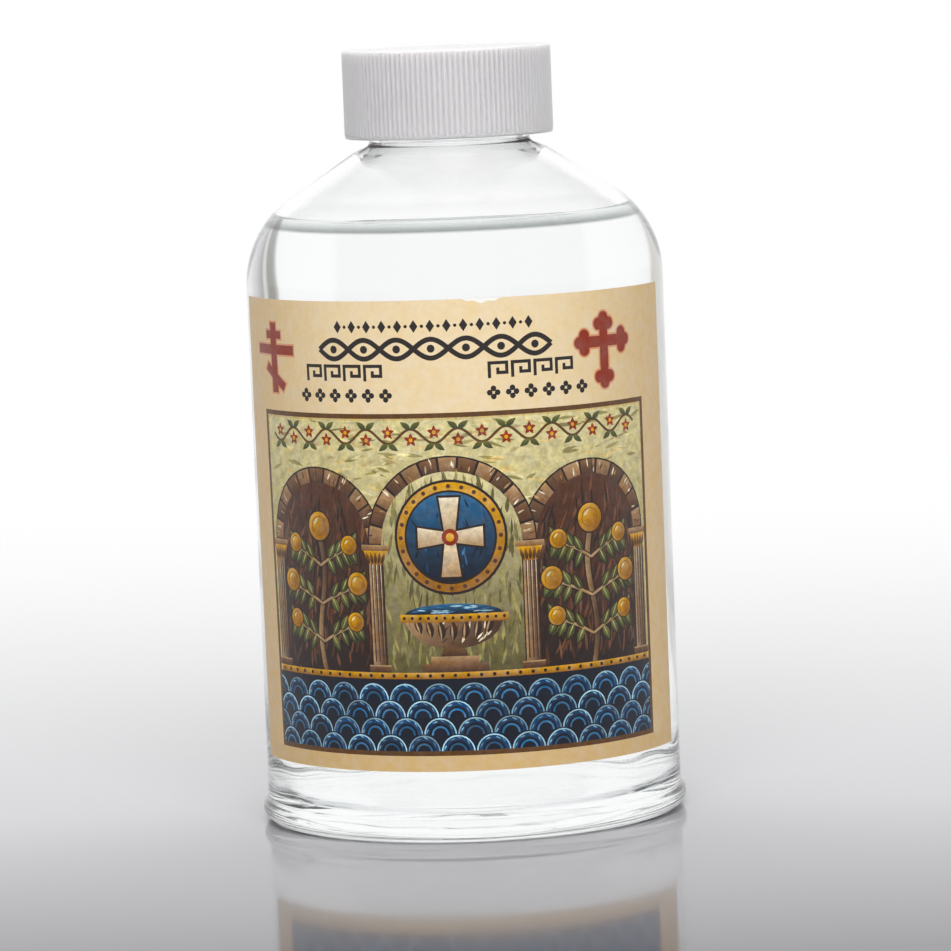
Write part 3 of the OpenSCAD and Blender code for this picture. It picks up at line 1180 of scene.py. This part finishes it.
# Tones seen through glass, by degrees from straight behind to the right: a dark stand with a pale strip
THROUGH_TONES = (
    (-180.0, (252, 252, 253)),
    (-110.0, (215, 215, 219)),
    (-80.0, (195, 193, 192)),
    (-62.0, (182, 177, 169)),
    (-52.0, (188, 183, 174)),
    (-48.0, WHITE),
    (28.0, WHITE),
    (30.0, (130, 128, 122)),
    (34.5, (118, 116, 111)),
    (35.3, (214, 210, 204)),
    (37.0, (214, 210, 204)),
    (37.8, (124, 122, 120)),
    (42.0, (170, 169, 172)),
    (57.0, (240, 240, 245)),
    (76.0, (240, 240, 245)),
    (82.0, (210, 210, 215)),
    (110.0, (215, 215, 219)),
    (180.0, (252, 252, 253)),
)

# Light of the surround by how far behind the bottle a direction points, from -1 in front to 1 behind
SURROUND_TONES = (
    (-1.0, (230, 230, 230)),
    (-0.3, (165, 165, 165)),
    (0.0, (132, 132, 132)),
    (0.35, (215, 215, 215)),
    (0.7, WHITE),
    (1.0, WHITE),
)

# Lamps, each with its place and its power in watts
LAMP_W = 1.0
LAMP_H = 0.7
LAMP_AIM = Vector((0.0, 0.0, 0.07))
LAMPS = {
    "front": ((0.12, -1.05, 0.9), 14.0),
    "top": ((0.0, 0.35, 0.95), 4.0),
}


def add_through(tree, place):
    """Colour seen through glass in the direction of a place, with that place's own parts."""
    parts = add_node(tree, "ShaderNodeSeparateXYZ", {"Vector": place}).outputs
    turn = add_math(tree, "ARCTAN2", parts["X"], parts["Y"])
    degrees = add_math(tree, "MULTIPLY", turn, 180.0 / math.pi)
    return add_ramp(tree, degrees, THROUGH_TONES), parts


def add_sight(tree):
    """Whether a ray comes from the camera or a mirroring face, and whether it came through glass."""
    paths = tree.nodes.new("ShaderNodeLightPath").outputs
    seen = add_math(tree, "MAXIMUM", paths["Is Camera Ray"], paths["Is Glossy Ray"])
    return seen, paths["Is Transmission Ray"]


def floor_look():
    """Polished pale floor with painted shade in front of the bottle, plain white away from the bottle and
    with the surround's tones through glass.
    """
    mat, tree, shader = material("floor_look")
    place = add_place(tree)
    tone, parts = add_through(tree, place)
    set_inputs(tree, shader, {
        "Base Color": add_ramp(tree, parts["Y"], FLOOR_SHADE_TONES),
        "Roughness": add_wander(tree, 0.06, 0.1, 30.0),
        "IOR": 1.22,
    })
    far = tree.nodes.new("ShaderNodeVectorMath")
    far.operation = "LENGTH"
    tree.links.new(place, far.inputs[0])
    away = add_spread(tree, far.outputs["Value"], WHITE_FROM, WHITE_TO)
    away.interpolation_type = "SMOOTHSTEP"
    seen, through = add_sight(tree)
    plain = add_math(tree, "MULTIPLY", seen, away.outputs["Result"])
    # Painted light: seen through glass, the floor glows with the surround's tones by direction instead of
    # showing its own lit colour and shade
    glow = add_node(tree, "ShaderNodeEmission", {"Color": add_mix(tree, through, rgba(WHITE), tone)})
    blend = tree.nodes.new("ShaderNodeMixShader")
    tree.links.new(add_math(tree, "MAXIMUM", plain, through), blend.inputs[0])
    tree.links.new(shader.outputs["BSDF"], blend.inputs[1])
    tree.links.new(glow.outputs["Emission"], blend.inputs[2])
    tree.links.new(blend.outputs["Shader"], tree.nodes["Material Output"].inputs["Surface"])
    return mat


def make_floor():
    """Wide flat floor under the bottle."""
    mesh = bpy.data.meshes.new("floor")
    corners = rect(-FLOOR_HALF, -FLOOR_HALF, FLOOR_HALF, FLOOR_HALF)
    mesh.from_pydata([(x, y, FLOOR_Z) for x, y in corners], [], [(0, 1, 2, 3)])
    mesh.materials.append(floor_look())
    floor = add_object("floor", mesh)


def make_surround():
    """White behind the bottle and greyer round it, but plain white where it is seen or mirrored."""
    world = bpy.data.worlds.new("surround")
    world.use_nodes = True
    tree = world.node_tree
    tone, parts = add_through(tree, add_place(tree, "Generated"))
    seen, through = add_sight(tree)
    light = add_mix(tree, through, add_ramp(tree, parts["Y"], SURROUND_TONES), tone)
    tree.links.new(add_mix(tree, seen, light, rgba(WHITE)), tree.nodes["Background"].inputs["Color"])
    scene.world = world


def add_lamp(name, place, power):
    """Soft rectangular lamp that neither shows through glass nor mirrors in it."""
    data = bpy.data.lights.new(name, "AREA")
    data.shape = "RECTANGLE"
    data.size = LAMP_W
    data.size_y = LAMP_H
    data.energy = power
    lamp = add_object(name, data)
    lamp.location = place
    lamp.rotation_euler = (LAMP_AIM - Vector(place)).to_track_quat("-Z", "Y").to_euler()
    lamp.visible_transmission = False
    lamp.visible_glossy = False


# Camera: far off, a little above the cap, leaning so that the bottle tips to the left as photographed

CAMERA_FAR = 1.031
CAMERA_HIGH = 0.1711
CAMERA_SIDE = 4.0
AIM_Z = 0.0648
AIM_RIGHT = 0.0025
LENS = 203.4
SENSOR = 36.0
ROLL = 2.25


def make_camera():
    """Long lens looking slightly down at the bottle."""
    side = math.radians(CAMERA_SIDE)
    eye = Vector((CAMERA_FAR * math.sin(side), -CAMERA_FAR * math.cos(side), CAMERA_HIGH))
    right = Vector((math.cos(side), math.sin(side), 0.0))
    ahead = (Vector((0.0, 0.0, AIM_Z)) + right * AIM_RIGHT - eye).normalized()
    right = ahead.cross(Vector((0.0, 0.0, 1.0))).normalized()
    up = right.cross(ahead)
    roll = math.radians(ROLL)
    across = right * math.cos(roll) - up * math.sin(roll)
    upward = right * math.sin(roll) + up * math.cos(roll)
    data = bpy.data.cameras.new("camera")
    data.lens = LENS
    data.sensor_width = SENSOR
    camera = add_object("camera", data)
    turn = Matrix((across, upward, -ahead)).transposed().to_4x4()
    camera.matrix_world = Matrix.Translation(eye) @ turn
    scene.camera = camera


make_floor()
make_surround()
for lamp_name, (lamp_place, lamp_power) in LAMPS.items():
    add_lamp(lamp_name, lamp_place, lamp_power)
make_camera()
scene.cycles.max_bounces = 40
scene.cycles.transmission_bounces = 32
scene.cycles.glossy_bounces = 12
scene.view_settings.view_transform = "Standard"
